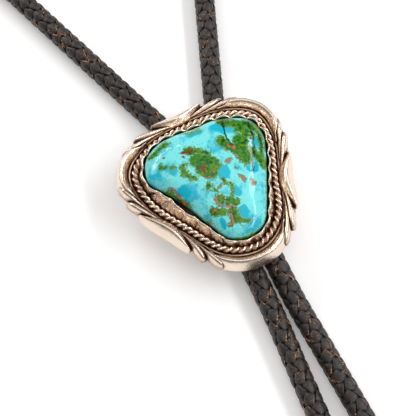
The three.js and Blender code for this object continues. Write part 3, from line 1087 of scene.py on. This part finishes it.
@dataclass
class CordClasp:
    """The clasp behind the plate: a plain trough that holds the two runs of cord."""

    material: Material
    wall: float = 1.4 * MM
    floor: float = 0.9 * MM
    edge: float = 0.35 * MM

    def build(self) -> Piece:
        """Cuts the trough from a block and rounds its edges.

        Returns:
            The clasp.
        """
        low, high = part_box("cord_clasp")
        middle, size = (low + high) / 2, high - low
        blocks = []
        for shrink, rise, longer in ((0, 0, 0), (2 * self.wall, self.floor, 2 * MM)):
            deselect_all()
            bpy.ops.mesh.primitive_cube_add(size=1, location=middle + Vector((0, 0, rise)))
            block = bpy.context.object
            block.scale = (size.x - shrink, size.y + longer, size.z + (1e-6 if rise else 0))
            place_in_mesh(block)
            blocks.append(block)
        clasp, cutter = blocks
        cut = clasp.modifiers.new("trough", "BOOLEAN")
        cut.object = cutter
        cut.operation = "DIFFERENCE"
        rounding = clasp.modifiers.new("rounding", "BEVEL")
        rounding.width = self.edge
        rounding.segments = 3
        apply_modifiers(clasp)
        bpy.data.objects.remove(cutter)
        take_up(clasp)
        bpy.ops.object.shade_smooth_by_angle(angle=math.radians(35))
        return on_root(clasp, "trough_clasp", self.material, Slot.FITTING_SILVER, "cord_clasp")


@dataclass
class CordTip:
    """A tip: a tapered sleeve with a turned collar at its mouth and a rounded end. The cup that
    takes the cord is in millimetres, as the profile is."""

    material: Material
    sides: int = 40
    cup_depth: float = 5
    cup_radius: float = 3.12

    def build(self, name: str, node: str, mouth: Vector, away: Vector) -> Piece:
        """Turns a tip.

        Args:
            name: the piece's name.
            node: the CAD node that it stands for.
            mouth: the middle of its mouth.
            away: the direction from its mouth to its end.

        Returns:
            The tip.
        """
        profile = (
            (self.cup_radius, self.cup_depth), (self.cup_radius, 0.1), (3.2, 0), (3.4, 0.02), (3.5, 0.2),
            (3.5, 1.9), (3.42, 2.1), (3.2, 2.25), (3.17, 2.5), (3.2, 2.75), (3.3, 2.9), (3.3, 3.2),
            (3.18, 3.4), (3.1, 3.6), (2.95, 12), (2.7, 23), (2.42, 33.2), (2.3, 34.4), (1.95, 35.3),
            (1.3, 35.8), (0.5, 36),
        )
        turns = np.linspace(0, 2 * math.pi, self.sides + 1)[:-1]
        rings = [
            [Vector((r * MM * math.cos(a), r * MM * math.sin(a), up * MM)) for a in turns]
            for r, up in profile
        ]
        tip = loft(rings)
        tip.rotation_mode = "QUATERNION"
        tip.rotation_quaternion = Vector((0, 0, 1)).rotation_difference(away)
        tip.location = mouth
        place_in_mesh(tip)
        bpy.ops.object.shade_smooth()
        return on_root(tip, name, self.material, Slot.FITTING_SILVER, node)


# ---- the cord


@dataclass
class BraidedCord:
    """The cord: ten leather strips plaited over one and under one, along its real route."""

    material: Material
    axis_x: float = 3 * MM
    diameter: float = 6 * MM
    lead: float = 29.5 * MM
    strips_each_way: int = 5
    half_width: float = 1.42 * MM
    half_thickness: float = 0.36 * MM
    middle_radius: float = 2.26 * MM
    sway: float = 0.36 * MM
    hug: float = 0.39
    groove_depth: float = 1.2 * MM
    core_radius: float = 1.75 * MM
    run: float = 3.15 * MM
    clasp_end: float = -11 * MM

    def half_route(self) -> list[Triple]:
        """One half of the route, from the cord's end to the top of the neck loop: the distance from the
        cord's axis of symmetry, the distance along it, and the height, in millimetres."""
        run = self.run / MM
        return [
            (5.9, -84, 3.5), (5.0, -67, 3.0), (4.1, -50, 3.0), (3.3, -36, 3.0), (run, -25, 3.3),
            (run, -14, 4.1), (run, 5, 4.2), (3.55, 12, 4.0), (5.4, 18, 3.6), (10.1, 31, 3.0),
            (28.0, 80, 3.0), (45.9, 129, 3.0), (63.2, 178, 3.0), (71.2, 203, 3.0), (75.2, 229, 3.0),
            (73.2, 255, 3.0), (64.0, 280, 3.0), (47.7, 300.7, 3.0), (25.6, 314.4, 3.0), (0, 319.3, 3.0),
        ]

    def route(self) -> list[Vector]:
        """The whole route, from the left end round the neck loop to the right end."""
        half = self.half_route()
        points = []
        for hand, rows in ((-1, half), (1, half[-2::-1])):
            for across, along, up in rows:
                points.append(Vector((self.axis_x + hand * across * MM, along * MM, up * MM)))
        return smooth_curve(points, closed=False)

    def frames(self, line: list[Vector], places: np.ndarray) -> tuple[np.ndarray, np.ndarray, np.ndarray]:
        """Finds the cord's middle at given distances, and the directions to its side and upwards there."""
        step = 0.5 * MM
        ahead = walked(line, places + step) - walked(line, places - step)
        tangent = ahead / np.linalg.norm(ahead, axis=1, keepdims=True)
        side = np.cross(tangent, (0, 0, 1))
        side /= np.linalg.norm(side, axis=1, keepdims=True)
        return walked(line, places), side, np.cross(side, tangent)

    def strip(self, line: list[Vector], places: np.ndarray, hand: int, number: int, fine: bool) -> tuple:
        """Lays one strip of the plait.

        Args:
            line: the cord's route.
            places: distances along it, in metres.
            hand: 1 for a strip that winds one way, -1 for the other.
            number: which of the strips of that hand it is.
            fine: whether its section gets all of its points.

        Returns:
            Its rings of points, how far across the strip each point lies, and how deep in the cord.
        """
        middle, side, up = self.frames(line, places)
        turn = 2 * math.pi * places / self.lead
        angle = (hand * turn + 2 * math.pi * number / self.strips_each_way)[:, None]
        wave = np.cos(self.strips_each_way * turn)
        radius = (self.middle_radius + hand * self.sway * wave * (1.5 - 0.5 * wave**2))[:, None]
        out = np.cos(angle) * side + np.sin(angle) * up
        spine = middle + radius * out
        along = np.gradient(spine, axis=0)
        wide = np.cross(along, out)
        wide /= np.linalg.norm(wide, axis=1, keepdims=True)
        lift = np.cross(wide, along)
        lift /= np.linalg.norm(lift, axis=1, keepdims=True)
        section = [(-1, -0.5), (-0.93, 0.6), (-0.6, 1), (0.6, 1), (0.93, 0.6), (1, -0.5), (0, -1)]
        if fine:
            section = [
                (-1, -0.6), (-0.99, 0.3), (-0.92, 0.72), (-0.76, 0.93), (-0.3, 1), (0.3, 1), (0.76, 0.93),
                (0.92, 0.72), (0.99, 0.3), (1, -0.6), (0, -1),
            ]
        rings = []
        for across, rise in section:
            reach = across * self.half_width
            sink = self.hug * reach**2 / self.middle_radius
            rings.append(spine + wide * reach + lift * (rise * self.half_thickness - sink))
        points = np.stack(rings, axis=1)
        far = np.linalg.norm(points - middle[:, None], axis=2)
        depth = np.clip((self.diameter / 2 - far) / self.groove_depth, 0, 1)
        across = np.broadcast_to([abs(a) + (0.6 - min(r, 0.6)) * 0.5 for a, r in section], depth.shape)
        return points, across, depth

    def core(self, line: list[Vector], places: np.ndarray) -> tuple:
        """The plait's core, which closes the gaps between the strips. Returns what strip() returns."""
        middle, side, up = self.frames(line, places[::4])
        sides = 10
        turns = 2 * math.pi * np.arange(sides) / sides
        ring = [middle + self.core_radius * (math.cos(a) * side + math.sin(a) * up) for a in turns]
        points = np.stack(ring, axis=1)
        return points, np.zeros(points.shape[:2]), np.ones(points.shape[:2])

    def plait(self, line: list[Vector], places: np.ndarray, fine: bool) -> Piece:
        """Makes the mesh of a stretch of cord.

        Args:
            line: the cord's whole route.
            places: the distances along it where the stretch is sampled.
            fine: whether the strips' sections get all of their points.

        Returns:
            The stretch, with how far across its strip and how deep each point lies.
        """
        tubes = [self.core(line, places)]
        for hand in (1, -1):
            for number in range(self.strips_each_way):
                tubes.append(self.strip(line, places, hand, number, fine))
        points, across, depth, faces = [], [], [], []
        first = 0
        for tube, over, deep in tubes:
            stops, sides = tube.shape[:2]
            grid = first + np.arange(stops * sides).reshape(stops, sides)
            beside = np.roll(grid, -1, axis=1)
            quads = np.stack([grid[:-1], beside[:-1], beside[1:], grid[1:]], axis=-1)
            faces += quads.reshape(-1, 4).tolist()
            faces += [grid[0, ::-1].tolist(), grid[-1].tolist()]
            points.append(tube.reshape(-1, 3))
            across.append(over.reshape(-1))
            depth.append(deep.reshape(-1))
            first += stops * sides
        mesh = bpy.data.meshes.new("cord")
        mesh.from_pydata(np.concatenate(points).tolist(), [], faces)
        for name, values in (("across", across), ("depth", depth)):
            attribute = mesh.attributes.new(name, "FLOAT", "POINT")
            attribute.data.foreach_set("value", np.concatenate(values).astype(np.float32))
        piece = bpy.data.objects.new("cord", mesh)
        bpy.context.scene.collection.objects.link(piece)
        take_up(piece)
        bpy.ops.object.mode_set(mode="EDIT")
        bpy.ops.mesh.select_all(action="SELECT")
        bpy.ops.mesh.normals_make_consistent(inside=False)
        bpy.ops.object.mode_set(mode="OBJECT")
        bpy.ops.object.shade_smooth_by_angle(angle=math.radians(75))
        return piece

    def build(self, tips: CordTip) -> list[Piece]:
        """Builds the neck loop, the two tails and the tips that they end in.

        Args:
            tips: the turner of the tips.

        Returns:
            The pieces.
        """
        line = self.route()
        hidden, straight = 3 * MM, 17 * MM
        line.insert(0, line[0] + (line[0] - line[1]).normalized() * hidden)
        line.append(line[-1] + (line[-1] - line[-2]).normalized() * hidden)
        total = length_of(line)
        crossing = next(i for i, point in enumerate(line) if point.y > self.clasp_end)
        tail = length_of(line[:crossing + 1])
        fine_step, coarse_step, seen = self.lead / 80, self.lead / 40, 75 * MM
        neck_places = np.concatenate([
            np.arange(tail, tail + seen, fine_step),
            np.arange(tail + seen, total - tail - seen, coarse_step),
            np.arange(total - tail - seen, total - tail + fine_step, fine_step),
        ])
        neck = self.plait(line, neck_places, fine=False)
        pieces = [on_root(neck, "neck_cord", self.material, Slot.BRAIDED_LEATHER, "braided_cord")]
        tail_places = np.linspace(0, tail, round(tail / (self.lead / 96)))
        inner = hidden + straight
        for name, places, ends in (
            ("left", tail_places[::-1], (hidden, inner)),
            ("right", total - tail_places[::-1], (total - hidden, total - hidden - straight)),
        ):
            end, before = walked(line, np.array(ends))
            away = Vector(end - before)
            away.z = 0
            away.normalize()
            mouth = Vector((end[0], end[1], 3.5 * MM)) + away * 0.3 * MM
            tip = tips.build(f"turned_tip_{name}", f"cord_tip_{name}", mouth, away)
            cord = self.plait(line, np.sort(places), fine=True)
            on_root(cord, f"tail_cord_{name}", self.material, Slot.BRAIDED_LEATHER, "braided_cord")
            pieces += [cord, tip]
        return pieces


# ---- the studio


@dataclass
class Studio:
    """The pale floor, the soft lights and the camera."""

    azimuth: float = -24.57
    elevation: float = 66
    distance: float = 350 * MM
    aim: Vector = Vector((-3.84 * MM, -3.1 * MM, 6 * MM))
    lens: float = 115.1

    def camera(self) -> None:
        """Sets up the camera, which looks down at the slide from the side of the tails."""
        bpy.ops.object.camera_add()
        camera = bpy.context.object
        turn, tilt = math.radians(self.azimuth), math.radians(self.elevation)
        back = Vector((math.sin(turn) * math.cos(tilt), -math.cos(turn) * math.cos(tilt), math.sin(tilt)))
        camera.location = self.aim + back * self.distance
        camera.rotation_euler = (-back).to_track_quat("-Z", "Y").to_euler()
        camera.data.lens = self.lens
        camera.data.sensor_width = 36
        camera.data.clip_start, camera.data.clip_end = 0.01, 20
        bpy.context.scene.camera = camera

    def softbox(self, place: Triple, size: tuple[float, float], watts: float) -> None:
        """Hangs a soft light that faces the slide.

        Args:
            place: where it hangs, in metres.
            size: its width and height.
            watts: its power.
        """
        bpy.ops.object.light_add(type="AREA", location=place)
        light = bpy.context.object
        light.rotation_euler = (-Vector(place)).to_track_quat("-Z", "Y").to_euler()
        light.data.shape = "RECTANGLE"
        light.data.size, light.data.size_y = size
        light.data.energy = watts

    def floor(self) -> None:
        """Lays the plain pale floor."""
        bpy.ops.mesh.primitive_plane_add(size=6)
        floor = bpy.context.object
        floor.name = "floor"
        white = (1, 1, 1, 1)
        base = (0.88, 0.88, 0.885, 1)
        bench = FinishBench(
            "pale_floor", Base_Color=base, Roughness=0.9, Emission_Color=white, Emission_Strength=0.2
        )
        floor.data.materials.append(bench.material)

    def air(self) -> None:
        """Lights the studio's air: brightest overhead, and dim near the horizon."""
        world = bpy.data.worlds.new("studio_air")
        world.use_nodes = True
        nodes, links = world.node_tree.nodes, world.node_tree.links
        direction = nodes.new("ShaderNodeTexCoord").outputs["Generated"]
        height = nodes.new("ShaderNodeSeparateXYZ")
        links.new(direction, height.inputs[0])
        glow = nodes.new("ShaderNodeMapRange")
        glow.interpolation_type = "SMOOTHSTEP"
        for name, value in (("From Min", 0.7), ("From Max", 0.93), ("To Min", 0.2), ("To Max", 1.15)):
            glow.inputs[name].default_value = value
        links.new(height.outputs["Z"], glow.inputs["Value"])
        background = nodes["Background"]
        background.inputs["Color"].default_value = (1, 0.98, 0.96, 1)
        links.new(glow.outputs[0], background.inputs["Strength"])
        bpy.context.scene.world = world

    def build(self) -> None:
        """Sets up the whole studio."""
        self.floor()
        self.camera()
        self.softbox(place=(0.55, -0.15, 0.6), size=(1.3, 0.12), watts=4.8)
        self.softbox(place=(-0.3, 0.75, 0.5), size=(0.9, 0.12), watts=3.2)
        self.air()
        bpy.context.scene.view_settings.view_transform = "Standard"
        bpy.context.scene.view_settings.look = "None"


def main() -> None:
    """Builds the tie around its frame, piece by piece."""
    logging.basicConfig(level=logging.INFO, format="%(name)s: %(message)s")
    noise.seed_set(NOISE_SEED)
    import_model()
    Studio().build()
    fitting_silver = PlainSilver().material()
    setting = SilverSetting(OxidisedSilver().material()).build()
    stone = TurquoiseStone(SkyStone().material()).build()
    CordClasp(fitting_silver).build()
    BraidedCord(PlaitedLeather().material()).build(CordTip(fitting_silver))
    Patina().darken(setting, [stone])


if __name__ == "__main__":
    main()
